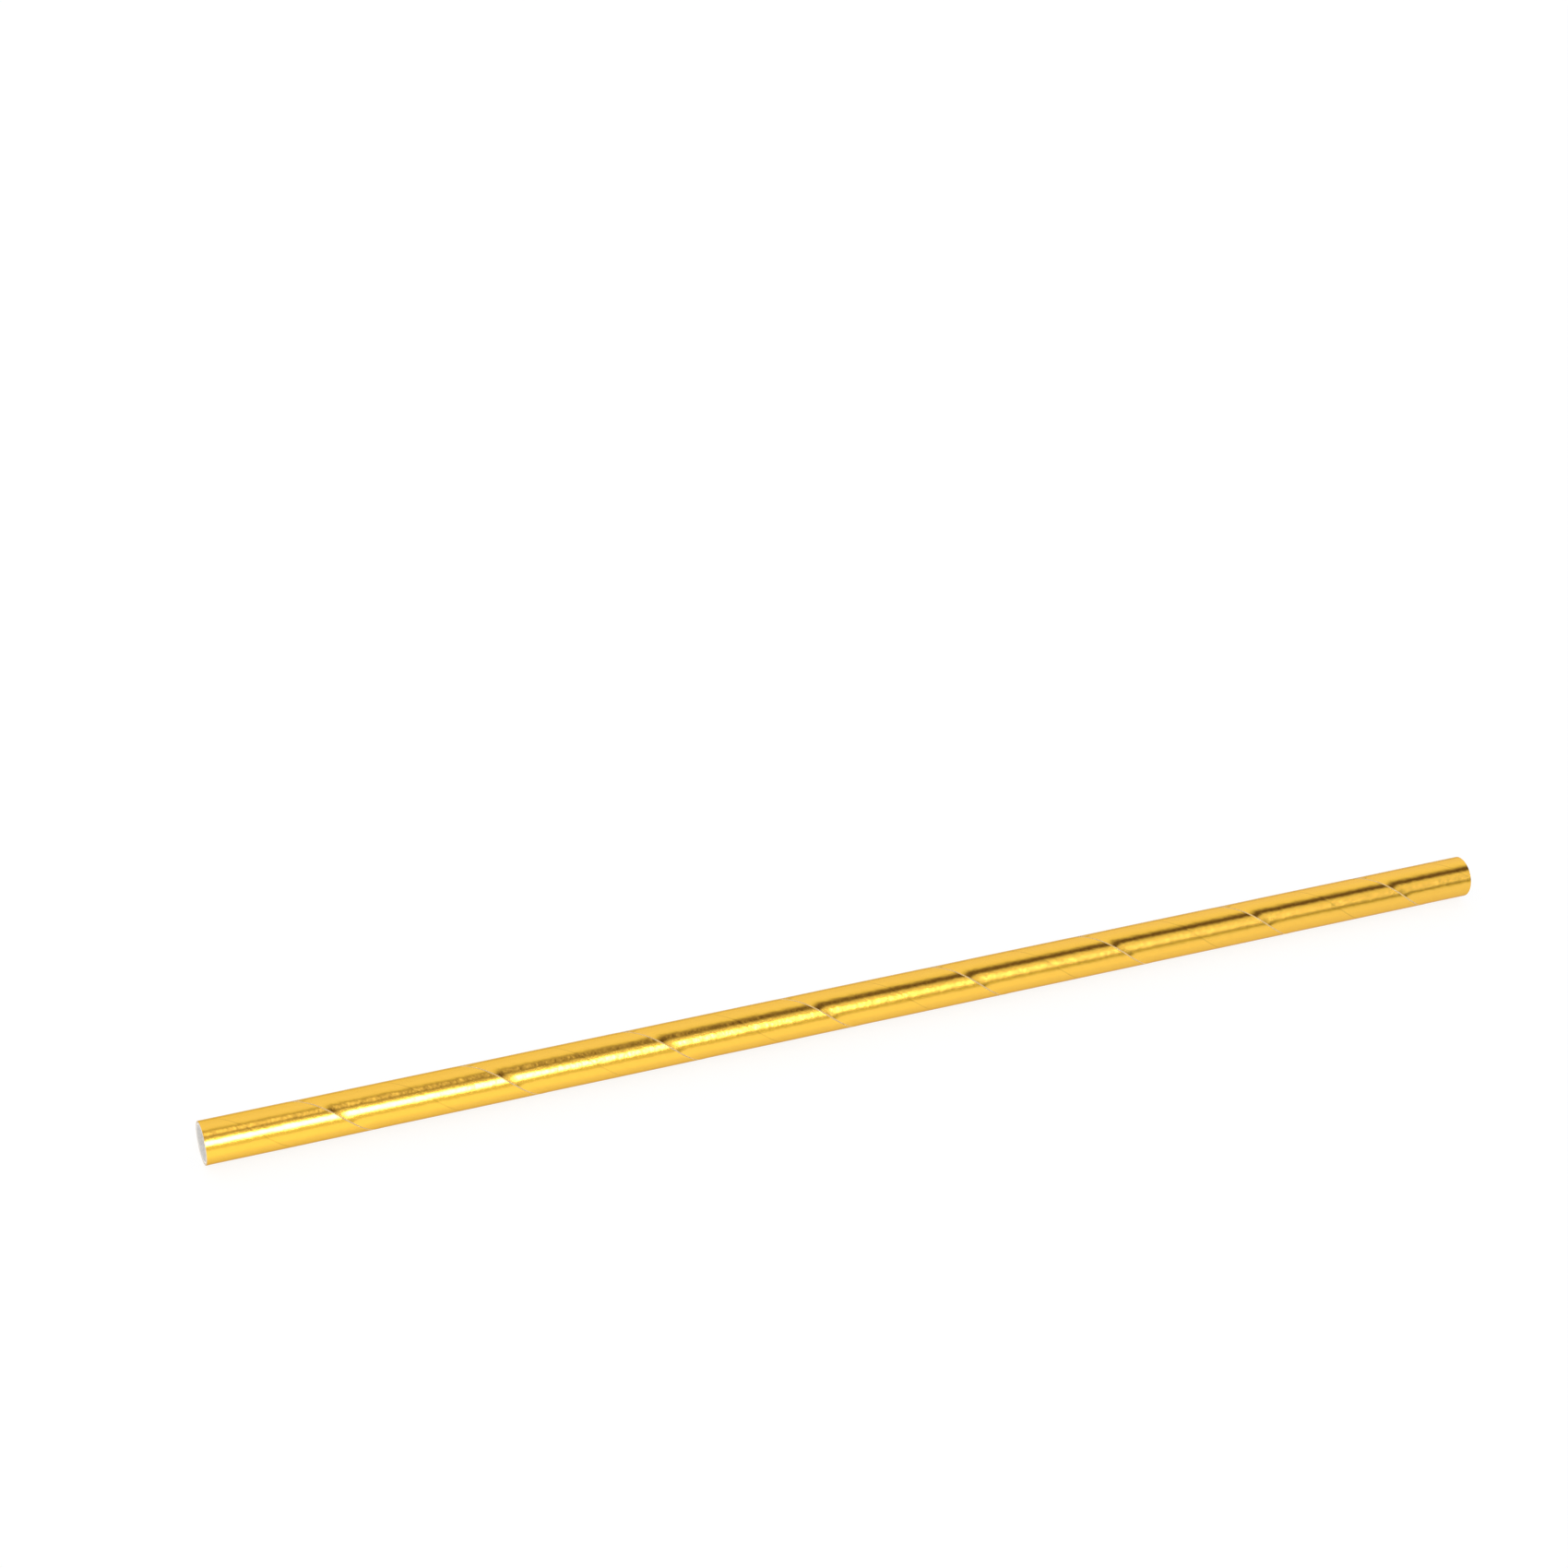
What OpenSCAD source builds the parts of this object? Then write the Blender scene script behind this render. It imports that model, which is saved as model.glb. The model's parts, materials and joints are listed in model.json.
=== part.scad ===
// Foil-faced paper drinking straw, wound from three slit strips.
// The straw lies along X with the end nearer the viewer at -X, and rests on z = 0.

/* [Straw] */
// Length of the straw from cut to cut
straw_length = 197; // [120:1:300]
// Outer diameter of the wound tube
outer_d = 6; // [4:0.1:12]

/* [Strips] */
// Thickness of the outer strip, paper faced with gold foil
outer_ply_t = 0.16; // [0.08:0.01:0.3]
// Thickness of the paper strip under it
middle_ply_t = 0.16; // [0.08:0.01:0.3]
// Thickness of the paper strip that lines the bore
inner_ply_t = 0.16; // [0.08:0.01:0.3]

/* [Winding] */
// How far every strip advances along the straw in one turn
pitch = 23.65; // [12:0.05:40]
// Open gap across the butt seam between one turn of a strip and the next
seam_gap = 0.18; // [0.1:0.01:0.5]
// Distance from the near end to the outer strip's first seam on the top line
outer_seam_start = 15; // [0:0.1:23]
// Distance from the near end to the middle strip's first seam on the top line
middle_seam_start = 2.4; // [0:0.1:23]
// Distance from the near end to the inner strip's first seam on the top line
inner_seam_start = 20.4; // [0:0.1:23]

/* [Cut ends] */
// Slant of the cut at the near end, away from a square cut
near_cut_slant = 5; // [0:0.5:10]
// Turn about the straw, from +Y over +Z, of the side that the slant leaves longest
near_cut_turn = 135; // [0:5:355]

/* [Hidden] */

// Each strip's inner face is the outer face of the strip under it.
outer_r = outer_d / 2;
middle_r = outer_r - outer_ply_t;
inner_r = middle_r - middle_ply_t;
bore_r = inner_r - inner_ply_t;

// Facets in one turn of a seam's walls, and how far its cutter reaches past the strip.
seam_facets = 20;
seam_reach = 0.04;

// How far the tubes are drawn past each cut before they are trimmed.
trim = 1;

$fn = 96;

// Width of a seam along the straw's axis, from the gap measured across the seam.
function seam_axial(r) =
    let (around = 2 * PI * r)
    seam_gap * sqrt(around * around + pitch * pitch) / around;

// One corner of the seam cutter, at a turn counted from the top line.
function seam_corner(turn, r, shift) =
    [pitch * turn + shift, -r * sin(360 * turn), r * cos(360 * turn)];

// Right-hand helical ridge through a strip of the given radii, all along the straw.
module seam_cutter(r_in, r_out, start) {
    low = r_in - seam_reach;
    high = r_out / cos(180 / seam_facets) + seam_reach;
    half = seam_axial(r_out) / 2;
    first = -ceil((start + pitch) / pitch * seam_facets);
    last = ceil((straw_length - start + pitch) / pitch * seam_facets);
    stations = [for (i = [first : last]) i / seam_facets];
    count = len(stations);
    corners = [
        for (turn = stations)
            each [
                seam_corner(turn, low, -half),
                seam_corner(turn, high, -half),
                seam_corner(turn, high, half),
                seam_corner(turn, low, half)
            ]
    ];
    sides = [
        for (i = [0 : count - 2], k = [0 : 3])
            let (a = 4 * i + k, b = 4 * i + (k + 1) % 4)
            each [[a, b, a + 4], [b, b + 4, a + 4]]
    ];
    last_ring = 4 * (count - 1);
    caps = [
        [0, 3, 2],
        [0, 2, 1],
        [last_ring, last_ring + 1, last_ring + 2],
        [last_ring, last_ring + 2, last_ring + 3]
    ];
    translate([start, 0, 0])
        polyhedron(points = corners, faces = concat(sides, caps), convexity = 20);
}

// Everything on the waste side of the near cut, which leans about the straw's axis.
module near_waste(r) {
    rotate([near_cut_turn, 0, 0])
        translate([0, outer_r, 0])
            rotate([0, 0, near_cut_slant])
                translate([-8 * r, -8 * r, -4 * r])
                    cube([8 * r, 16 * r, 8 * r]);
}

// A tube of one strip's thickness, cut to length and parted along its seam.
module ply(r_in, r_out, start) {
    translate([-straw_length / 2, 0, outer_r])
        difference() {
            rotate([0, 90, 0])
                cylinder(h = straw_length, r = r_out);
            translate([-trim, 0, 0])
                rotate([0, 90, 0])
                    cylinder(h = straw_length + 2 * trim, r = r_in);
            seam_cutter(r_in, r_out, start);
            near_waste(outer_r);
        }
}

module outer_ply() {
    color("goldenrod")
        ply(middle_r, outer_r, outer_seam_start);
}

module middle_ply() {
    color("cornsilk")
        ply(inner_r, middle_r, middle_seam_start);
}

module inner_ply() {
    color("white")
        ply(bore_r, inner_r, inner_seam_start);
}

outer_ply();
middle_ply();
inner_ply();
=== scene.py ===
"""Looks of a foil-faced paper straw, wound from three strips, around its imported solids."""

import json
import math

import bpy
from mathutils import Matrix, Vector


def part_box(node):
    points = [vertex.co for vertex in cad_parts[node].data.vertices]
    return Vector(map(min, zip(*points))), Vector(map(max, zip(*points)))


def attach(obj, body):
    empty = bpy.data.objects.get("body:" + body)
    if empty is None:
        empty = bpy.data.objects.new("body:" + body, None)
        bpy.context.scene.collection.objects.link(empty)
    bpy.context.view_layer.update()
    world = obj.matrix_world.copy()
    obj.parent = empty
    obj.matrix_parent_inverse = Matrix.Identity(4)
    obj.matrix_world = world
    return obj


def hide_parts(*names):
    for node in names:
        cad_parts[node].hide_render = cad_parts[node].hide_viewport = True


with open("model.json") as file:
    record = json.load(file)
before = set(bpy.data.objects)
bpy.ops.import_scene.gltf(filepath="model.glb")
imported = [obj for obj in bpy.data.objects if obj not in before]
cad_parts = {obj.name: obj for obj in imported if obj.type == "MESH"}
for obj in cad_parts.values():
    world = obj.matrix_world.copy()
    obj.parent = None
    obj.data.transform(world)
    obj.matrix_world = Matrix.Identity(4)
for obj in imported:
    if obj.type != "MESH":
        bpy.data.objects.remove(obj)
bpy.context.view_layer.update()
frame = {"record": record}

bl_info = {
    "name": "Foil-faced Paper Straw",
    "version": (1, 0, 0),
    "blender": (4, 5, 0),
    "location": "3D View > Sidebar > Straw",
    "description": "Winds a straw from three strips of foil and paper and lays it on a plain stage",
    "category": "Add Mesh",
}

MM = 0.001

# The strips' radii and the straw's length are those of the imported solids.
STRAW_LENGTH = (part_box("outer_ply")[1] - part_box("outer_ply")[0]).x
OUTER_RADIUS = (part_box("outer_ply")[1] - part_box("outer_ply")[0]).z / 2
MIDDLE_RADIUS = (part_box("middle_ply")[1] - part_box("middle_ply")[0]).z / 2
INNER_RADIUS = (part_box("inner_ply")[1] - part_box("inner_ply")[0]).z / 2
BORE_RADIUS = next(m["dims"]["r_mm"] for m in frame["record"]["mounts"] if m["name"] == "bore") * MM


class Term:
    """A number in a node tree, so that a formula made of nodes reads as a formula."""

    def __init__(self, tree, socket):
        self.tree = tree
        self.socket = socket

    def math(self, operation, *others):
        return calculate(self.tree, operation, self, *others)

    def __add__(self, other):
        return self.math("ADD", other)

    def __radd__(self, other):
        return self.math("ADD", other)

    def __sub__(self, other):
        return self.math("SUBTRACT", other)

    def __rsub__(self, other):
        return calculate(self.tree, "SUBTRACT", other, self)

    def __mul__(self, other):
        return self.math("MULTIPLY", other)

    def __truediv__(self, other):
        return self.math("DIVIDE", other)


def feed(tree, socket, value):
    """Links a term or a socket to an input, or sets a plain value on it."""
    if isinstance(value, Term):
        tree.links.new(value.socket, socket)
    elif isinstance(value, bpy.types.NodeSocket):
        tree.links.new(value, socket)
    else:
        socket.default_value = value


def calculate(tree, operation, *values):
    """A Math node as a term."""
    node = tree.nodes.new("ShaderNodeMath")
    node.operation = operation
    for socket, value in zip(node.inputs, values):
        feed(tree, socket, value)
    return Term(tree, node.outputs[0])


def smooth_step(term, low, high, at_low=0.0, at_high=1.0, kind="SMOOTHSTEP"):
    """Eases from one value to another as the term goes from low to high."""
    node = term.tree.nodes.new("ShaderNodeMapRange")
    node.interpolation_type = kind
    for name, value in (
        ("Value", term),
        ("From Min", low),
        ("From Max", high),
        ("To Min", at_low),
        ("To Max", at_high),
    ):
        feed(term.tree, node.inputs[name], value)
    return Term(term.tree, node.outputs["Result"])


def ramp(term, low, high, at_low, at_high):
    """Goes straight from one value to another as the term goes from low to high."""
    return smooth_step(term, low, high, at_low, at_high, "LINEAR")


def add_node(tree, kind, settings=None, **inputs):
    """Adds a node, sets its settings, and feeds the inputs that are named, with _ for a space."""
    node = tree.nodes.new(kind)
    for name, value in (settings or {}).items():
        setattr(node, name, value)
    for name, value in inputs.items():
        feed(tree, node.inputs[name.replace("_", " ")], value)
    return node


def vector_of(tree, x, y, z):
    """A vector made of three terms or numbers."""
    return add_node(tree, "ShaderNodeCombineXYZ", X=x, Y=y, Z=z).outputs[0]


# Sizes and looks that a user may change

class StripSizes(bpy.types.PropertyGroup):
    """How the strips are wound and cut, and the small relief of the foil face."""

    length: bpy.props.FloatProperty(
        name="Length", description="Length of the straw from cut to cut",
        default=STRAW_LENGTH, unit="LENGTH")
    pitch: bpy.props.FloatProperty(
        name="Pitch", description="How far every strip advances along the straw in one turn",
        default=23.65 * MM, unit="LENGTH")
    seam_gap: bpy.props.FloatProperty(
        name="Seam Gap", description="Open gap between one turn of a strip and the next",
        default=0.18 * MM, unit="LENGTH")
    outer_start: bpy.props.FloatProperty(
        name="Outer Seam Start", description="From the near end to the foil strip's seam on the top line",
        default=15.0 * MM, unit="LENGTH")
    middle_start: bpy.props.FloatProperty(
        name="Middle Seam Start",
        description="From the near end to the middle strip's seam on the top line",
        default=2.4 * MM, unit="LENGTH")
    inner_start: bpy.props.FloatProperty(
        name="Inner Seam Start", description="From the near end to the inner strip's seam on the top line",
        default=20.4 * MM, unit="LENGTH")
    cut_slant: bpy.props.FloatProperty(
        name="Near Cut Slant", description="Slant of the cut at the near end, away from a square cut",
        default=math.radians(5), subtype="ANGLE")
    cut_turn: bpy.props.FloatProperty(
        name="Near Cut Turn", description="Turn from +Y over +Z of the side that the slant leaves longest",
        default=math.radians(135), subtype="ANGLE")
    edge_break: bpy.props.FloatProperty(
        name="Edge Break", description="How far the cut edges of a strip are broken",
        default=0.02 * MM, unit="LENGTH")
    lip_lift: bpy.props.FloatProperty(
        name="Lip Lift", description="How far the foil strip's trailing edge stands off at its seam",
        default=0.02 * MM, unit="LENGTH")
    lip_reach: bpy.props.FloatProperty(
        name="Lip Reach", description="How far the lift reaches into the strip",
        default=0.3 * MM, unit="LENGTH")
    lip_run: bpy.props.FloatProperty(
        name="Lip Run", description="How far behind the lip the strip lies hollow",
        default=4.0 * MM, unit="LENGTH")
    dip_depth: bpy.props.FloatProperty(
        name="Dip Depth", description="How far the foil sinks over the seam of the strip under it",
        default=0.006 * MM, unit="LENGTH")
    dip_width: bpy.props.FloatProperty(
        name="Dip Width", description="Half width of that dip",
        default=0.12 * MM, unit="LENGTH")


class FoilLook(bpy.types.PropertyGroup):
    """The gold foil."""

    color: bpy.props.FloatVectorProperty(
        name="Foil", description="Colour of the foil's metal",
        default=(0.88, 0.525, 0.066), subtype="COLOR", size=3, min=0, max=1)
    deep_color: bpy.props.FloatVectorProperty(
        name="Deep Foil", description="Colour of the foil where its lacquer lies thicker",
        default=(0.85, 0.49, 0.056), subtype="COLOR", size=3, min=0, max=1)
    lip_curl: bpy.props.FloatProperty(
        name="Lip Curl", description="How far the foil curls up in its last stretch before the seam",
        default=0.048 * MM, unit="LENGTH")
    curl_reach: bpy.props.FloatProperty(
        name="Curl Reach", description="Length of that stretch",
        default=0.9 * MM, unit="LENGTH")


class PaperLook(bpy.types.PropertyGroup):
    """The paper of the strips."""

    core_color: bpy.props.FloatVectorProperty(
        name="Core Paper", description="Colour of the cream paper in the wall",
        default=(0.72, 0.62, 0.5), subtype="COLOR", size=3, min=0, max=1)
    # The seam colour is painted light: the golden glint of the foil's edges, which also lightens the shade
    # in the open seam.
    painted_seam_light: bpy.props.FloatVectorProperty(
        name="Seam Painted Light",
        description="Colour of that paper in the open seam, painted golden and brighter as painted light from the foil's edges",
        default=(0.98, 0.79, 0.44), subtype="COLOR", size=3, min=0, max=1)
    white_color: bpy.props.FloatVectorProperty(
        name="Lining Paper", description="Colour of the white paper in the bore",
        default=(0.94, 0.92, 0.89), subtype="COLOR", size=3, min=0, max=1)


class StageLook(bpy.types.PropertyGroup):
    """The plain floor, the light round the straw and the camera."""

    floor_size: bpy.props.FloatProperty(
        name="Floor Size", description="Side of the square floor", default=6.0, unit="LENGTH")
    box_level: bpy.props.FloatProperty(
        name="Light Box", description="Brightness of the light box in front, as the foil mirrors it",
        default=14.0)
    box_end: bpy.props.FloatProperty(
        name="Light Box End",
        description="Brightness of its dimmer end, which lies square in front of the straw",
        default=0.8)
    ceiling_color: bpy.props.FloatVectorProperty(
        name="Ceiling", description="Colour of the dark ceiling strip, as the foil mirrors it",
        default=(0.12, 0.08, 0.075), subtype="COLOR", size=3, min=0, max=1)


# Materials

# Half width and strength of the painted shade line over the seam of the strip under the foil.
CREASE_WIDTH = 0.07 * MM
CREASE_SHADE = 0.18
# The foil's crinkle: size and height of its streaks, which are drawn out along the strip, and of its
# blotches, and the height of the paper's grain in it.
STREAK_SIZE = 0.7 * MM
STREAK_PULL = 1.8
STREAK_HEIGHT = 0.011 * MM
BLOTCH_SIZE = 1.5 * MM
BLOTCH_HEIGHT = 0.035 * MM
GRAIN_HEIGHT = 0.0016 * MM
# Height of the fibres in the face of the bare paper.
FIBRE_HEIGHT = 0.02 * MM
# Paper this near to the ends of the straw counts as cut edge.
CUT_RIM = 0.6 * MM


def new_material(name):
    """An empty node material with its output and one Principled shader."""
    material = bpy.data.materials.new(name)
    material.use_nodes = True
    tree = material.node_tree
    tree.nodes.clear()
    output = tree.nodes.new("ShaderNodeOutputMaterial")
    shader = tree.nodes.new("ShaderNodeBsdfPrincipled")
    tree.links.new(shader.outputs[0], output.inputs["Surface"])
    return material, tree, shader


def strip_place(tree):
    """The place on a strip: along it in X and across it in Y, in metres."""
    return add_node(tree, "ShaderNodeAttribute", {"attribute_name": "strip_place"}).outputs["Vector"]


def fibre_group():
    """Paper fibres, long flecks along the strip and a fine felt, as a height from 0 to 1."""
    found = bpy.data.node_groups.get("paper_fibre")
    if found:
        return found
    tree = bpy.data.node_groups.new("paper_fibre", "ShaderNodeTree")
    for name, kind, value in (
        ("Place", "NodeSocketVector", (0, 0, 0)),
        ("Fleck Length", "NodeSocketFloat", 1.2 * MM),
        ("Fleck Width", "NodeSocketFloat", 0.12 * MM),
        ("Felt", "NodeSocketFloat", 0.25),
    ):
        socket = tree.interface.new_socket(name, in_out="INPUT", socket_type=kind)
        socket.default_value = value
    tree.interface.new_socket("Height", in_out="OUTPUT", socket_type="NodeSocketFloat")
    given = tree.nodes.new("NodeGroupInput")
    place = add_node(tree, "ShaderNodeSeparateXYZ", Vector=given.outputs["Place"])
    along = Term(tree, place.outputs["X"]) / Term(tree, given.outputs["Fleck Length"])
    across = Term(tree, place.outputs["Y"]) / Term(tree, given.outputs["Fleck Width"])
    flecks = add_node(
        tree, "ShaderNodeTexNoise",
        Vector=vector_of(tree, along, across, 0.0), Scale=1.0, Detail=3.0, Roughness=0.6)
    felt = add_node(
        tree, "ShaderNodeTexNoise",
        Vector=vector_of(tree, across, across + along, along), Scale=1.0, Detail=2.0)
    share = Term(tree, given.outputs["Felt"])
    height = Term(tree, flecks.outputs[0]) * (1 - share) + Term(tree, felt.outputs[0]) * share
    output = tree.nodes.new("NodeGroupOutput")
    feed(tree, output.inputs["Height"], height)
    return tree


def fibre(tree, fleck_length, fleck_width, felt):
    """Places the fibre group in a material and gives its height."""
    node = add_node(
        tree, "ShaderNodeGroup", {"node_tree": fibre_group()},
        Place=strip_place(tree), Fleck_Length=fleck_length, Fleck_Width=fleck_width, Felt=felt)
    return Term(tree, node.outputs["Height"])


def mix_colors(tree, factor, first, second):
    """Mixes two colours."""
    node = tree.nodes.new("ShaderNodeMix")
    node.data_type = "RGBA"
    feed(tree, node.inputs["Factor"], factor)
    feed(tree, node.inputs["A"], (*first, 1.0))
    feed(tree, node.inputs["B"], (*second, 1.0))
    return node.outputs["Result"]


def shade(tree, color, share):
    """Takes a share of its light away from a colour."""
    node = tree.nodes.new("ShaderNodeMix")
    node.data_type = "RGBA"
    feed(tree, node.inputs["Factor"], share)
    feed(tree, node.inputs["A"], color)
    feed(tree, node.inputs["B"], (0.0, 0.0, 0.0, 1.0))
    return node.outputs["Result"]


def noise(tree, place, size, detail):
    """Noise from 0 to 1 with blotches of the given size in metres."""
    node = add_node(tree, "ShaderNodeTexNoise", Vector=place, Scale=1.0 / size, Detail=detail)
    return Term(tree, node.outputs[0])


def bump(tree, height, distance, under=None):
    """A bump of the given height in metres, over the normal of another one if there is one."""
    node = add_node(tree, "ShaderNodeBump", Height=height, Distance=distance, Strength=1.0)
    if under is not None:
        feed(tree, node.inputs["Normal"], under)
    return node.outputs["Normal"]


def foil_material(look, sizes):
    """Gold foil on paper: a lacquered mirror that shows the paper's grain and curls up at its lip."""
    material, tree, shader = new_material("gold_foil")
    place = add_node(tree, "ShaderNodeTexCoord").outputs["Object"]
    on_strip = add_node(tree, "ShaderNodeSeparateXYZ", Vector=strip_place(tree))
    along = Term(tree, on_strip.outputs["X"])
    to_lip = Term(tree, on_strip.outputs["Y"])
    pulled = vector_of(tree, along / STREAK_PULL, to_lip, 0.0)
    streaks = noise(tree, pulled, STREAK_SIZE, 3.0)
    blotches = noise(tree, place, BLOTCH_SIZE, 2.0)
    grain = fibre(tree, 0.5 * MM, 0.16 * MM, 0.6)
    curl = 1 - (to_lip / look.curl_reach).math("MINIMUM", 1.0)
    normal = bump(tree, curl * curl, look.lip_curl)
    normal = bump(tree, streaks, STREAK_HEIGHT, normal)
    normal = bump(tree, blotches, BLOTCH_HEIGHT, normal)
    normal = bump(tree, grain, GRAIN_HEIGHT, normal)
    gold = mix_colors(tree, streaks, look.color, look.deep_color)
    # A thin line of painted shade lies over the seam of the strip under the foil.
    from_crease = (to_lip - crease_place(sizes)) / CREASE_WIDTH
    crease = (from_crease * from_crease * -1).math("EXPONENT") * CREASE_SHADE
    feed(tree, shader.inputs["Base Color"], shade(tree, gold, crease))
    feed(tree, shader.inputs["Roughness"], smooth_step(grain, 0.3, 0.7, 0.14, 0.2))
    shader.inputs["Metallic"].default_value = 1.0
    shader.inputs["Specular Tint"].default_value = (0.95, 0.72, 0.3, 1.0)
    shader.inputs["Coat Weight"].default_value = 0.35
    shader.inputs["Coat Roughness"].default_value = 0.1
    shader.inputs["Coat IOR"].default_value = 1.5
    feed(tree, shader.inputs["Normal"], normal)
    feed(tree, shader.inputs["Coat Normal"], normal)
    return material


def crease_place(sizes):
    """How far from the foil strip's lip the seam of the middle strip lies under it."""
    round_it = 2 * math.pi * OUTER_RADIUS
    width = sizes.pitch * round_it / math.hypot(round_it, sizes.pitch) - sizes.seam_gap
    under = (sizes.middle_start - sizes.outer_start) / sizes.pitch % 1
    return (1 - under) * width


def paper_material(name, cut_color, color, fleck_length):
    """Uncoated paper with flecks of fibre, which has another colour at the cut ends of the straw."""
    material, tree, shader = new_material(name)
    height = fibre(tree, fleck_length, 0.1 * MM, 0.35)
    spot = add_node(
        tree, "ShaderNodeSeparateXYZ", Vector=add_node(tree, "ShaderNodeTexCoord").outputs["Object"])
    from_cut = STRAW_LENGTH / 2 - Term(tree, spot.outputs["X"]).math("ABSOLUTE")
    paper = mix_colors(tree, smooth_step(from_cut, CUT_RIM, CUT_RIM * 1.5), cut_color, color)
    feed(tree, shader.inputs["Base Color"], shade(tree, paper, smooth_step(height, 0.35, 0.65, 0.14, 0.0)))
    feed(tree, shader.inputs["Roughness"], smooth_step(height, 0.3, 0.7, 0.85, 0.95))
    shader.inputs["Specular IOR Level"].default_value = 0.3
    feed(tree, shader.inputs["Normal"], bump(tree, height, FIBRE_HEIGHT))
    return material


def core_paper(look):
    """The cream paper that the foil strip and the middle strip share: cream at the cut ends, and elsewhere
    painted with the golden light that shows in the open seam.
    """
    found = bpy.data.materials.get("cream_paper")
    return found or paper_material("cream_paper", look.core_color, look.painted_seam_light, 1.0 * MM)


# The wound strips

STRIP_INPUTS = (
    ("Length", "NodeSocketFloat"),
    ("Outside", "NodeSocketFloat"),
    ("Inside", "NodeSocketFloat"),
    ("Straw Radius", "NodeSocketFloat"),
    ("Pitch", "NodeSocketFloat"),
    ("Seam Gap", "NodeSocketFloat"),
    ("Seam Start", "NodeSocketFloat"),
    ("Under Seam Start", "NodeSocketFloat"),
    ("Cut Slant", "NodeSocketFloat"),
    ("Cut Turn", "NodeSocketFloat"),
    ("Edge Break", "NodeSocketFloat"),
    ("Lip Lift", "NodeSocketFloat"),
    ("Lip Reach", "NodeSocketFloat"),
    ("Lip Run", "NodeSocketFloat"),
    ("Dip Depth", "NodeSocketFloat"),
    ("Dip Width", "NodeSocketFloat"),
    ("Stations", "NodeSocketInt"),
    ("Points Across", "NodeSocketInt"),
    ("Face", "NodeSocketMaterial"),
    ("Paper", "NodeSocketMaterial"),
)

# Length of the near end over which the slant of its cut fades out.
SLANT_FADE = 3 * MM
# Points closer than this are one point.
MERGE_DISTANCE = 0.002 * MM
# Edges sharper than this are creased in the shading.
SHARP_EDGE = math.radians(28)
# The points across a strip crowd towards its lifted edge by this power.
CROWDING = 1.3
# Rings along a strip and points across it, of which the foil strip has more for its relief.
PLAIN_RINGS = 330
PLAIN_POINTS = 64
FOIL_RINGS = 404
FOIL_POINTS = 116


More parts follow.
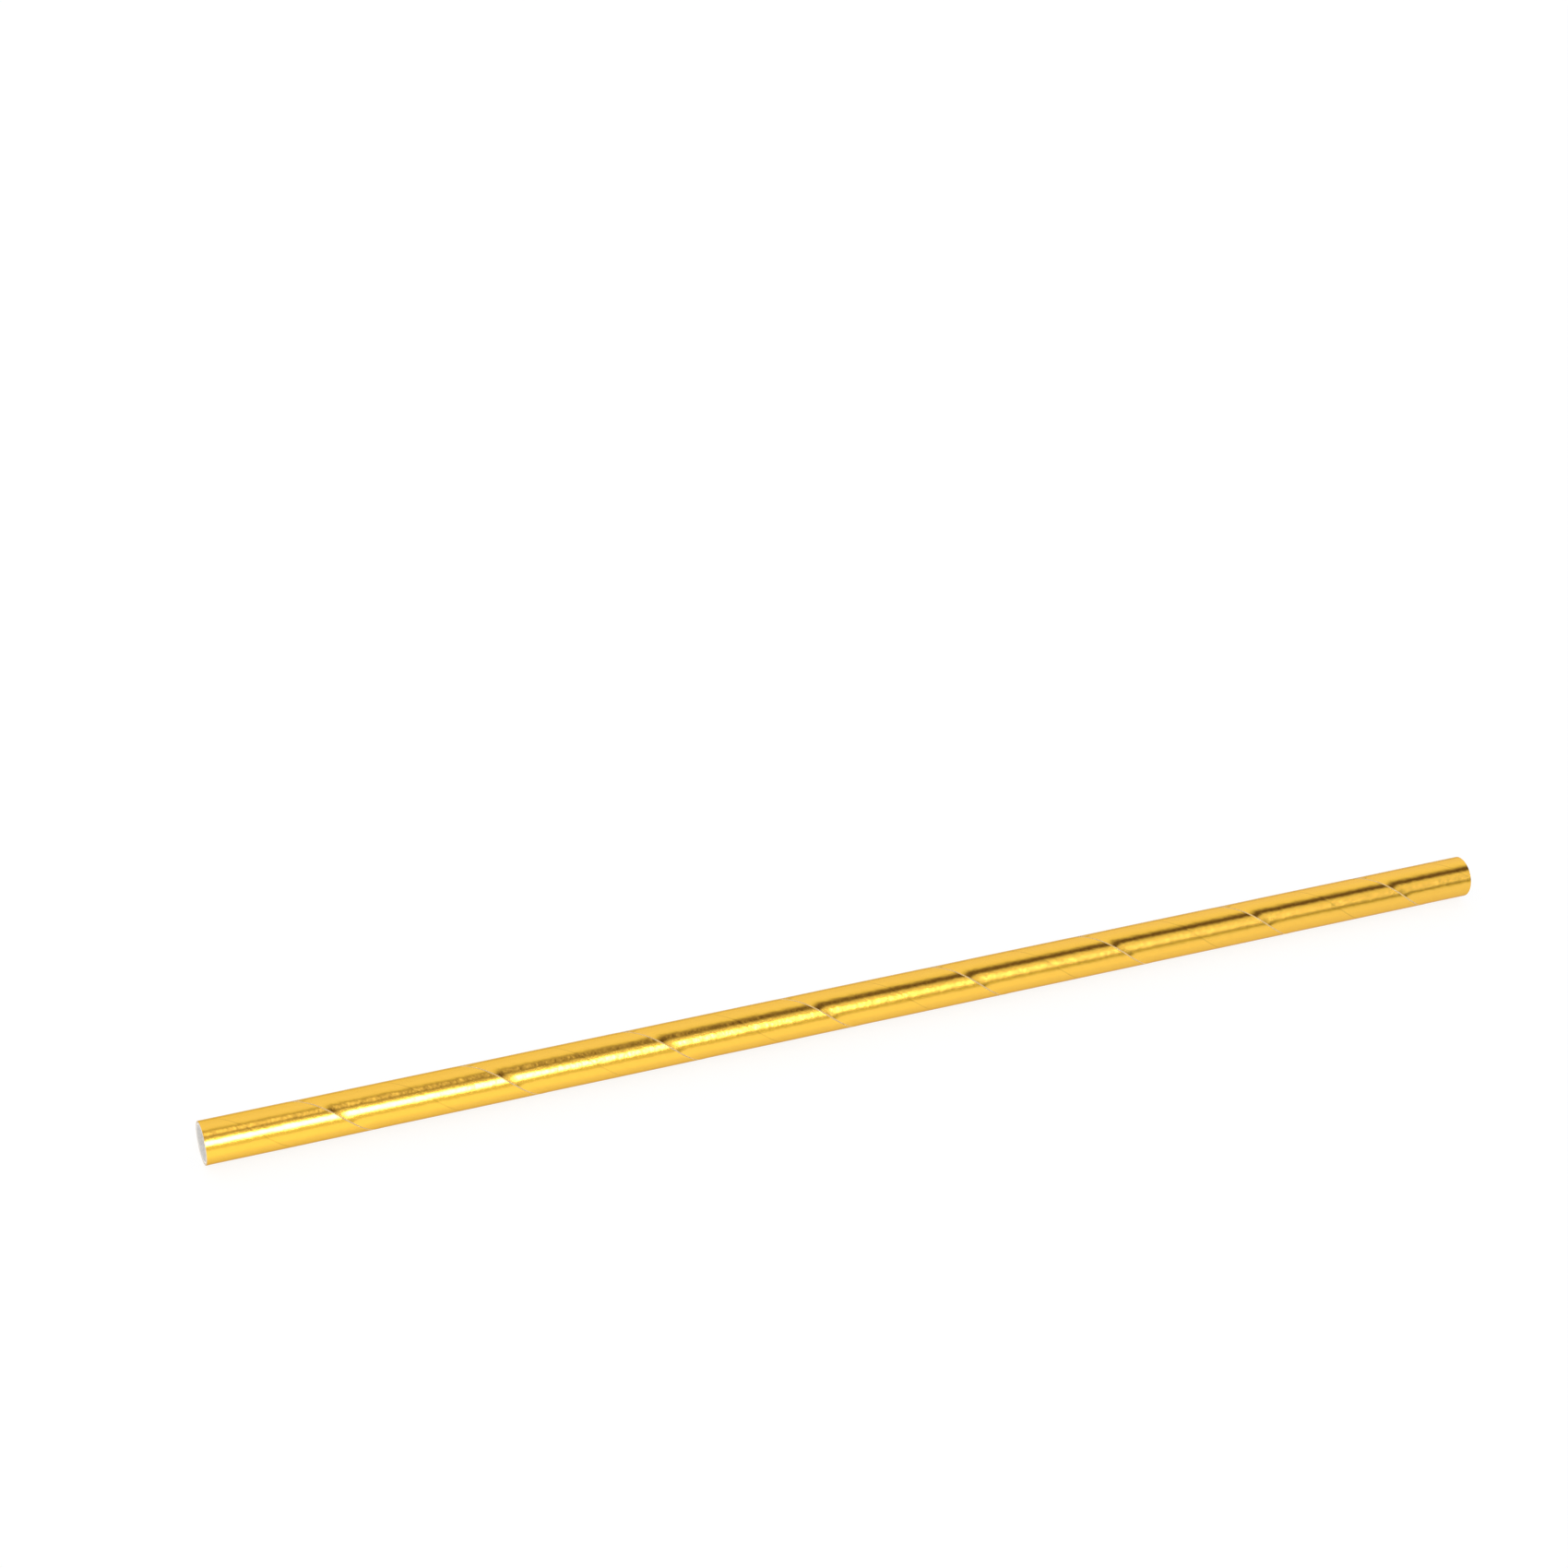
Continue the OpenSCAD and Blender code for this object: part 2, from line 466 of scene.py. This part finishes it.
def strip_tree():
    """Winds one strip: a grid of stations along the straw and a closed section round it."""
    tree = bpy.data.node_groups.new("wound_strip", "GeometryNodeTree")
    for name, kind in STRIP_INPUTS:
        tree.interface.new_socket(name, in_out="INPUT", socket_type=kind)
    tree.interface.new_socket("Geometry", in_out="OUTPUT", socket_type="NodeSocketGeometry")
    group_input = tree.nodes.new("NodeGroupInput")
    given = {name: Term(tree, group_input.outputs[name]) for name, _ in STRIP_INPUTS}
    length = given["Length"]
    stations = given["Stations"]
    across = given["Points Across"]
    ring = across * 2
    grid = add_node(
        tree, "GeometryNodeMeshGrid", Size_X=1.0, Size_Y=1.0, Vertices_X=stations, Vertices_Y=ring + 1)
    index = Term(tree, tree.nodes.new("GeometryNodeInputIndex").outputs[0])

    # The first and the last ring fold the outer face onto the inner one, which closes the cut ends.
    station = (index / (ring + 1)).math("FLOOR")
    from_end = station.math("MINIMUM", stations - 1 - station)
    folded = from_end.math("LESS_THAN", 0.5)
    at_cut = from_end.math("LESS_THAN", 1.5)
    share = ((station - 2) / (stations - 5)).math("MAXIMUM", 0.0).math("MINIMUM", 1.0)
    edge = given["Edge Break"]
    nominal = edge - length / 2 + (length - edge * 2) * share + edge * at_cut * (share * 2 - 1)

    # Each ring runs over the outer face, back over the inner face, and closes on its first point.
    step = (index - station * (ring + 1)).math("FLOORED_MODULO", ring)
    inner_side = step.math("GREATER_THAN", across - 0.5)
    even = step.math("MINIMUM", ring - 1 - step) / (across - 1)
    part = 1 - (1 - even).math("POWER", CROWDING)

    # The strip's own measures, on its outer face.
    outside = given["Outside"]
    pitch = given["Pitch"]
    round_it = outside * (2 * math.pi)
    diagonal = (round_it * round_it + pitch * pitch).math("SQRT")
    lean = round_it / diagonal
    gap_turn = given["Seam Gap"] / lean / pitch
    width = pitch * lean - given["Seam Gap"]

    # Relief of the face, sunk from the strip's outside.
    to_lip = (1 - part) * width
    run = to_lip / given["Lip Run"]
    lip = (1 - (to_lip / given["Lip Reach"] * -1).math("EXPONENT")) * (run * run * -1).math("EXPONENT")
    under = ((given["Under Seam Start"] - given["Seam Start"]) / pitch).math("FRACT")
    from_under = (part - under) * width / given["Dip Width"]
    dip = (from_under * from_under * -1).math("EXPONENT")
    sink = given["Lip Lift"] * lip + given["Dip Depth"] * dip
    face_radius = outside - sink - edge * at_cut
    inner_radius = given["Inside"] + edge * at_cut
    inward = inner_side.math("MAXIMUM", folded)
    radius = face_radius + (inner_radius - face_radius) * inward

    def around(x):
        """Turn of this point at x, in radians from the top line over the side towards the camera."""
        seam_turn = (x + length / 2 - given["Seam Start"]) / pitch
        return (seam_turn + gap_turn / 2 + part * (1 - gap_turn)) * (2 * math.pi)

    def slanted(x):
        """The station's place along the straw, moved by the slant of the near cut."""
        turn = around(x)
        side = radius * turn.math("SINE") * -1 * given["Cut Turn"].math("COSINE")
        side = side + radius * turn.math("COSINE") * given["Cut Turn"].math("SINE")
        back = (given["Straw Radius"] - side) * given["Cut Slant"].math("TANGENT")
        fade = (1 - (nominal + length / 2) / SLANT_FADE).math("MAXIMUM", 0.0)
        return nominal + back * fade

    x = slanted(slanted(nominal))
    turn = around(x)
    position = vector_of(
        tree, x,
        radius * turn.math("SINE") * -1,
        given["Straw Radius"] + radius * turn.math("COSINE"))
    placed = add_node(
        tree, "GeometryNodeSetPosition", Geometry=grid.outputs["Mesh"], Position=position)

    # Along the strip and across it, for the materials.
    along = (x - length / -2) * (diagonal / pitch) - to_lip * (pitch / round_it)
    mapped = add_node(
        tree, "GeometryNodeStoreNamedAttribute",
        {"data_type": "FLOAT_VECTOR", "domain": "POINT"},
        Geometry=placed.outputs[0], Name="strip_place", Value=vector_of(tree, along, to_lip, 0.0))
    on_face = add_node(
        tree, "GeometryNodeFieldOnDomain", {"data_type": "FLOAT", "domain": "POINT"}, Value=1 - inward)
    marked = add_node(
        tree, "GeometryNodeStoreNamedAttribute",
        {"data_type": "FLOAT", "domain": "FACE"},
        Geometry=mapped.outputs[0], Name="on_face", Value=on_face.outputs[0])
    outward = add_node(tree, "GeometryNodeFlipFaces", Mesh=marked.outputs[0])
    merged = add_node(
        tree, "GeometryNodeMergeByDistance", Geometry=outward.outputs[0], Distance=MERGE_DISTANCE)
    # The faces are twisted, so each is split along its short way, which keeps the strip's thickness.
    split = add_node(
        tree, "GeometryNodeTriangulate", {"quad_method": "SHORTEST_DIAGONAL"}, Mesh=merged.outputs[0])
    angle = Term(tree, tree.nodes.new("GeometryNodeInputMeshEdgeAngle").outputs["Unsigned Angle"])
    smooth = add_node(
        tree, "GeometryNodeSetShadeSmooth", {"domain": "FACE"},
        Geometry=split.outputs[0], Shade_Smooth=True)
    sharp = add_node(
        tree, "GeometryNodeSetShadeSmooth", {"domain": "EDGE"},
        Geometry=smooth.outputs[0], Selection=angle.math("GREATER_THAN", SHARP_EDGE), Shade_Smooth=False)
    real = add_node(tree, "GeometryNodeRealizeInstances", Geometry=sharp.outputs[0])
    papered = add_node(
        tree, "GeometryNodeSetMaterial", Geometry=real.outputs[0], Material=given["Paper"])
    face_mark = add_node(tree, "GeometryNodeInputNamedAttribute", {"data_type": "FLOAT"}, Name="on_face")
    chosen = Term(tree, face_mark.outputs["Attribute"]).math("GREATER_THAN", 0.9)
    faced = add_node(
        tree, "GeometryNodeSetMaterial",
        Geometry=papered.outputs[0], Selection=chosen, Material=given["Face"])
    output = tree.nodes.new("NodeGroupOutput")
    feed(tree, output.inputs["Geometry"], faced.outputs[0])
    return tree


def wind_strip(name, node, values):
    """Makes a strip with the tree, turns it into a plain mesh and lets it stand for its node."""
    tree = bpy.data.node_groups.get("wound_strip") or strip_tree()
    piece = bpy.data.objects.new(name, bpy.data.meshes.new(name))
    bpy.context.scene.collection.objects.link(piece)
    modifier = piece.modifiers.new("Wound Strip", "NODES")
    modifier.node_group = tree
    sockets = {item.name: item.identifier for item in tree.interface.items_tree if item.in_out == "INPUT"}
    for input_name, value in values.items():
        modifier[sockets[input_name]] = value
    bpy.context.view_layer.update()
    evaluated = piece.evaluated_get(bpy.context.evaluated_depsgraph_get())
    mesh = bpy.data.meshes.new_from_object(evaluated)
    if not mesh.polygons:
        raise RuntimeError(f"{name} came out empty")
    # The grid brings an empty slot of its own.
    for slot_index in reversed(range(len(mesh.materials))):
        if mesh.materials[slot_index] is None:
            mesh.materials.pop(index=slot_index)
    piece.modifiers.clear()
    piece.data = mesh
    mesh.name = name
    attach(piece, "root")
    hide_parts(node)
    return piece


def shared_values(sizes):
    """The tree's inputs that every strip has in common."""
    return {
        "Length": sizes.length,
        "Straw Radius": OUTER_RADIUS,
        "Pitch": sizes.pitch,
        "Seam Gap": sizes.seam_gap,
        "Cut Slant": sizes.cut_slant,
        "Cut Turn": sizes.cut_turn,
        "Edge Break": sizes.edge_break,
        "Lip Reach": sizes.lip_reach,
        "Lip Run": sizes.lip_run,
        "Dip Width": sizes.dip_width,
    }


def plain_values(sizes):
    """The tree's inputs for a strip with no relief of its own."""
    return shared_values(sizes) | {
        "Lip Lift": 0.0,
        "Dip Depth": 0.0,
        "Under Seam Start": 0.0,
        "Stations": PLAIN_RINGS,
        "Points Across": PLAIN_POINTS,
    }


class OuterStripOperator(bpy.types.Operator):
    """Winds the outer strip, paper faced with gold foil"""

    bl_idname = "straw.outer_strip"
    bl_label = "Outer Strip"

    def execute(self, context):
        sizes = context.scene.straw_sizes
        wind_strip("foil_strip", "outer_ply", shared_values(sizes) | {
            "Outside": OUTER_RADIUS,
            "Inside": MIDDLE_RADIUS,
            "Seam Start": sizes.outer_start,
            "Under Seam Start": sizes.middle_start,
            "Lip Lift": sizes.lip_lift,
            "Dip Depth": sizes.dip_depth,
            "Stations": FOIL_RINGS,
            "Points Across": FOIL_POINTS,
            "Face": foil_material(context.scene.straw_foil, sizes),
            "Paper": core_paper(context.scene.straw_paper),
        })
        return {"FINISHED"}


class MiddleStripOperator(bpy.types.Operator):
    """Winds the middle strip of cream paper, which shows in the open seam and at the ends"""

    bl_idname = "straw.middle_strip"
    bl_label = "Middle Strip"

    def execute(self, context):
        sizes = context.scene.straw_sizes
        paper = core_paper(context.scene.straw_paper)
        wind_strip("middle_strip", "middle_ply", plain_values(sizes) | {
            "Outside": MIDDLE_RADIUS,
            "Inside": INNER_RADIUS,
            "Seam Start": sizes.middle_start,
            "Face": paper,
            "Paper": paper,
        })
        return {"FINISHED"}


class InnerStripOperator(bpy.types.Operator):
    """Winds the inner strip of white paper, which lines the bore"""

    bl_idname = "straw.inner_strip"
    bl_label = "Inner Strip"

    def execute(self, context):
        sizes = context.scene.straw_sizes
        white = context.scene.straw_paper.white_color
        paper = paper_material("lining_paper", white, white, 0.8 * MM)
        wind_strip("inner_strip", "inner_ply", plain_values(sizes) | {
            "Outside": INNER_RADIUS,
            "Inside": BORE_RADIUS,
            "Seam Start": sizes.inner_start,
            "Face": paper,
            "Paper": paper,
        })
        return {"FINISHED"}


# The stage

# The camera, fitted to the photograph: it is a full frame camera that looks down from the near left.
CAMERA_PLACE = (-0.214988, -0.349491, 0.347642)
CAMERA_LENS = 87.204
CAMERA_SENSOR = 36.0
CAMERA_HEADING = math.radians(29.2296)
CAMERA_DROP = math.radians(37.0158)
CAMERA_ROLL = math.radians(8.1106)


def make_camera():
    """The camera at the photograph's viewing angle."""
    ahead = Vector((
        math.sin(CAMERA_HEADING) * math.cos(CAMERA_DROP),
        math.cos(CAMERA_HEADING) * math.cos(CAMERA_DROP),
        -math.sin(CAMERA_DROP)))
    level = Vector((math.cos(CAMERA_HEADING), -math.sin(CAMERA_HEADING), 0.0))
    upright = level.cross(ahead)
    right = level * math.cos(CAMERA_ROLL) + upright * math.sin(CAMERA_ROLL)
    up = upright * math.cos(CAMERA_ROLL) - level * math.sin(CAMERA_ROLL)
    data = bpy.data.cameras.new("camera")
    data.lens = CAMERA_LENS
    data.sensor_width = CAMERA_SENSOR
    data.clip_start = 0.01
    data.clip_end = 50.0
    camera = bpy.data.objects.new("camera", data)
    turned = Matrix((right, up, -ahead)).transposed().to_4x4()
    camera.matrix_world = Matrix.Translation(CAMERA_PLACE) @ turned
    bpy.context.scene.collection.objects.link(camera)
    bpy.context.scene.camera = camera


# The floor's own glow as the camera sees it, and its matte white, which keeps the straw's shadow.
FLOOR_GLOW = 0.86
FLOOR_WHITE = 0.16


def make_floor(look):
    """A white floor that keeps a faint contact shadow."""
    material = bpy.data.materials.new("floor")
    material.use_nodes = True
    tree = material.node_tree
    tree.nodes.clear()
    spot = add_node(
        tree, "ShaderNodeSeparateXYZ", Vector=add_node(tree, "ShaderNodeTexCoord").outputs["Object"])
    away = Term(tree, spot.outputs["Y"]).math("ABSOLUTE")
    path = tree.nodes.new("ShaderNodeLightPath")
    glossy = Term(tree, path.outputs["Is Glossy Ray"])
    # The foil mirrors a floor with a painted shadow where the straw touches it. In front painted light
    # brightens it away from the straw, most on the left, and behind and far off it dims a little.
    rightward = ramp(Term(tree, spot.outputs["X"]), -0.1, 0.1, 0.0, 1.0)
    front = smooth_step(Term(tree, spot.outputs["Y"]), -1 * MM, 1 * MM, 1.0, 0.0)
    clear_front = 0.4 - rightward * 0.32
    clear_back = -0.12
    clear = clear_back + (clear_front - clear_back) * front
    far = smooth_step(away, 25 * MM, 150 * MM) * (0.1 + rightward * 0.09)
    contact = smooth_step(away, 1.5 * MM, 3.6 * MM, 0.62, 0.82)
    mirrored = contact + clear * smooth_step(away, 2 * MM, 9 * MM) - far
    level = mirrored * glossy + (1 - glossy) * FLOOR_GLOW
    # The mirrored floor's painted light is bluer to the right and less blue near the straw.
    blue = rightward * 0.25 - smooth_step(away, 3.5 * MM, 7 * MM) * 0.18
    tint = vector_of(tree, 1.0, 1.0, 1 + glossy * blue)
    glow = add_node(tree, "ShaderNodeEmission", Color=tint, Strength=level)
    matte = tree.nodes.new("ShaderNodeBsdfDiffuse")
    matte.inputs["Color"].default_value = (FLOOR_WHITE, FLOOR_WHITE, FLOOR_WHITE, 1.0)
    both = tree.nodes.new("ShaderNodeAddShader")
    tree.links.new(glow.outputs[0], both.inputs[0])
    tree.links.new(matte.outputs[0], both.inputs[1])
    output = tree.nodes.new("ShaderNodeOutputMaterial")
    tree.links.new(both.outputs[0], output.inputs["Surface"])
    half = look.floor_size / 2
    mesh = bpy.data.meshes.new("floor")
    corners = [(-half, -half, 0.0), (half, -half, 0.0), (half, half, 0.0), (-half, half, 0.0)]
    mesh.from_pydata(corners, [], [(0, 1, 2, 3)])
    mesh.materials.append(material)
    floor = bpy.data.objects.new("floor", mesh)
    bpy.context.scene.collection.objects.link(floor)


def band(angle, low, low_soft, high, high_soft):
    """1 between two angles and 0 past them, with the softness of each edge, in degrees."""
    return smooth_step(angle, low - low_soft, low + low_soft) * smooth_step(
        angle, high - high_soft, high + high_soft, 1.0, 0.0)


def mirrored_room(angle, sideways, look):
    """The room above the floor, as the foil mirrors it: its level, its dark ceiling, its extra blue.

    The angle goes about the straw, in degrees: 0 is the horizon behind it, 90 is overhead and 180 is
    the horizon in front. Sideways goes from -1 on the left to 1 on the right.
    """
    # The dark ceiling strip, which narrows to the right, and the window that lights it on the left.
    ceiling_start = ramp(sideways, 0.32, 0.38, 79.5, 82.5)
    ceiling_end = ramp(sideways, 0.3, 0.38, 114.2, 111.3)
    ceiling = band(angle, ceiling_start, ramp(sideways, 0.42, 0.52, 12.0, 15.0), ceiling_end, 9)
    window = smooth_step(sideways, 0.08, 0.17, 0.1, 1.0) * ramp(sideways, 0.1, 0.345, 2.85, 0.0)
    window = window * band(angle, 85, 8, 107, 7.5)
    # The light box, with its dimmer end in front, its bright middle and what spills off to the right.
    box = band(angle, 132.2, 4.5, 154.5, 7)
    box_near = smooth_step(sideways, 0.1, 0.18, look.box_end, look.box_level)
    box_near = box_near * smooth_step(sideways, 0.293, 0.367, 1.0, 0.0)
    box_far = ramp(sideways, 0.45, 0.6, 0.24, -0.36)
    # The horizon in front, which darkens to the right, and a white back with a faint glow half way up.
    horizon = band(angle, 160, 8, 176, 8) * smooth_step(sideways, 0.2, 0.75, 0.0, 0.95)
    from_glow = (angle - 52) / 14
    back_glow = (from_glow * from_glow * -1).math("EXPONENT") * 0.05
    back = smooth_step(angle, 70, 95, 1.05, 1.0) + back_glow
    level = (box * (box_near + box_far) + back) * (1 - ceiling) + window * ceiling - horizon
    # The back has more blue to the right, the dark strips have less at their edges, and the spill of
    # the light box has more where it sets in.
    bluish = smooth_step(angle, 20, 60, 1.0, 0.0) * ramp(sideways, 0.3, 0.5, 0.0, 0.35)
    bluish = bluish - band(angle, 70, 8, 85, 8) * 0.22 - band(angle, 168, 5, 177, 5) * 0.4
    box_blue = ramp(sideways, 0.29, 0.36, 0.0, 0.5) - ramp(sideways, 0.43, 0.5, 0.0, 0.38)
    bluish = bluish + band(angle, 136, 10, 152, 10) * box_blue
    return level, ceiling, bluish


def make_world(look):
    """White light all round; the foil mirrors a light box in front and a dark ceiling strip."""
    world = bpy.data.worlds.new("studio")
    bpy.context.scene.world = world
    world.use_nodes = True
    tree = world.node_tree
    tree.nodes.clear()
    toward = add_node(
        tree, "ShaderNodeSeparateXYZ", Vector=add_node(tree, "ShaderNodeTexCoord").outputs["Generated"])
    sideways = Term(tree, toward.outputs["X"])
    height = Term(tree, toward.outputs["Z"])
    depth = Term(tree, toward.outputs["Y"])
    angle = height.math("ARCTAN2", depth) * (180 / math.pi)
    level, ceiling, bluish = mirrored_room(angle, sideways, look)
    path = tree.nodes.new("ShaderNodeLightPath")
    glossy = Term(tree, path.outputs["Is Glossy Ray"])
    # Plain light for the paper, a little stronger from the left.
    plain = (1 - glossy) * ramp(sideways, -1, 1, 1.25, 0.7)
    to_camera = Term(tree, path.outputs["Is Camera Ray"])
    seen = to_camera.math("MAXIMUM", Term(tree, path.outputs["Is Transmission Ray"]))
    # Red, green and blue, of which only blue takes the extra.
    parts = []
    for ceiling_part, takes_extra in zip(look.ceiling_color, (0.0, 0.0, 1.0)):
        part = glossy * (level + ceiling * ceiling_part) * (1 + bluish * takes_extra) + plain
        parts.append(seen + (1 - seen) * part)
    background = add_node(tree, "ShaderNodeBackground", Color=vector_of(tree, *parts), Strength=1.0)
    output = tree.nodes.new("ShaderNodeOutputWorld")
    tree.links.new(background.outputs[0], output.inputs["Surface"])


class StageOperator(bpy.types.Operator):
    """Makes the plain floor, the light round the straw and the camera"""

    bl_idname = "straw.stage"
    bl_label = "Stage"

    def execute(self, context):
        look = context.scene.straw_stage
        make_camera()
        make_floor(look)
        make_world(look)
        context.scene.view_settings.view_transform = "Standard"
        return {"FINISHED"}


# The add-on

class StrawPanel(bpy.types.Panel):
    """Lists the straw's pieces, sizes and colours in the sidebar"""

    bl_idname = "VIEW3D_PT_straw"
    bl_label = "Foil-faced Paper Straw"
    bl_space_type = "VIEW_3D"
    bl_region_type = "UI"
    bl_category = "Straw"

    def draw(self, context):
        for group in (context.scene.straw_sizes, context.scene.straw_foil,
                      context.scene.straw_paper, context.scene.straw_stage):
            box = self.layout.box()
            for name in group.__annotations__:
                box.prop(group, name)
        for operator in OPERATORS:
            self.layout.operator(operator.bl_idname)


GROUPS = {
    "straw_sizes": StripSizes,
    "straw_foil": FoilLook,
    "straw_paper": PaperLook,
    "straw_stage": StageLook,
}
OPERATORS = (StageOperator, OuterStripOperator, MiddleStripOperator, InnerStripOperator)


def register():
    for name, group in GROUPS.items():
        bpy.utils.register_class(group)
        setattr(bpy.types.Scene, name, bpy.props.PointerProperty(type=group))
    for operator in OPERATORS:
        bpy.utils.register_class(operator)
    bpy.utils.register_class(StrawPanel)


def unregister():
    bpy.utils.unregister_class(StrawPanel)
    for operator in reversed(OPERATORS):
        bpy.utils.unregister_class(operator)
    for name, group in reversed(GROUPS.items()):
        delattr(bpy.types.Scene, name)
        bpy.utils.unregister_class(group)


def main():
    """Builds the stage and the straw."""
    register()
    bpy.ops.straw.stage()
    bpy.ops.straw.outer_strip()
    bpy.ops.straw.middle_strip()
    bpy.ops.straw.inner_strip()


if __name__ == "__main__":
    main()
